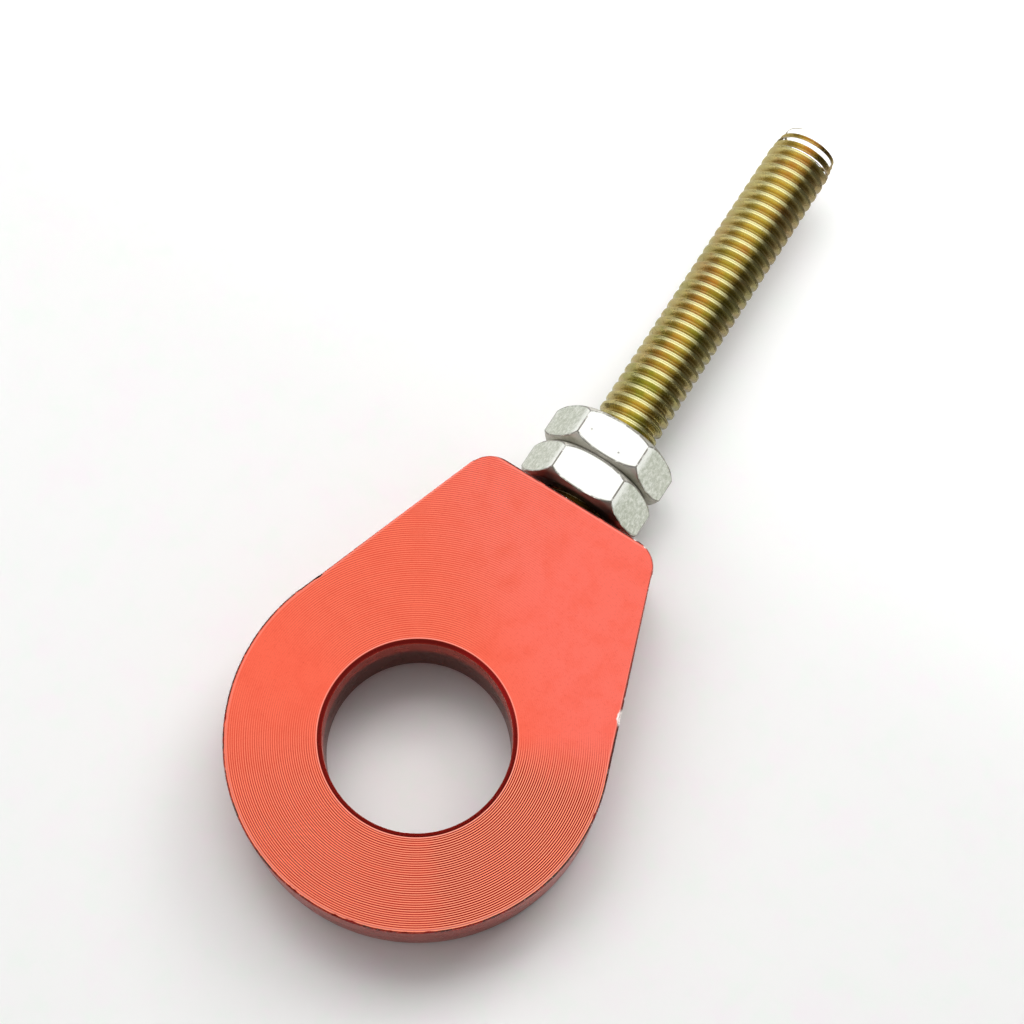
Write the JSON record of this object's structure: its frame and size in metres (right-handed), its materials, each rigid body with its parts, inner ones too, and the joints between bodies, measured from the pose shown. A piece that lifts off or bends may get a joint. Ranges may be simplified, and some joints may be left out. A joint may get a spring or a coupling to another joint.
{
  "type": "motorcycle chain adjuster",
  "caption": "Flat teardrop axle block with a round axle bore, a threaded stud out of its flat end, and a thin adjusting nut with a lock nut on the stud.",
  "frame": {"origin": "centre of the axle bore at mid thickness of the block", "axes": "+Z along the axle bore, +Y from the bore along the stud to its free end, +X to the right of the stud seen from +Z"},
  "size_m": [0.031, 0.0791, 0.01],
  "materials": {
    "red_anodised": "turned face, red anodised, satin",
    "yellow_zinc": "rolled thread, yellow passivated zinc, glossy",
    "bright_zinc": "bright zinc, satin"
  },
  "bodies": {
    "axle_block": {"axle_block": "red_anodised", "adjuster_stud": "yellow_zinc"},
    "adjusting_nut": {"adjusting_nut": "bright_zinc"},
    "lock_nut": {"lock_nut": "bright_zinc"}
  },
  "joints": [
    {"name": "adjusting_nut_travel", "type": "slide", "parent": "axle_block", "child": "adjusting_nut", "axis": [0, 1, 0], "range_m": [-0.0005, 0.0155]},
    {"name": "lock_nut_travel", "type": "slide", "parent": "adjusting_nut", "child": "lock_nut", "axis": [0, 1, 0], "range_m": [0, 0.0155]}
  ]
}
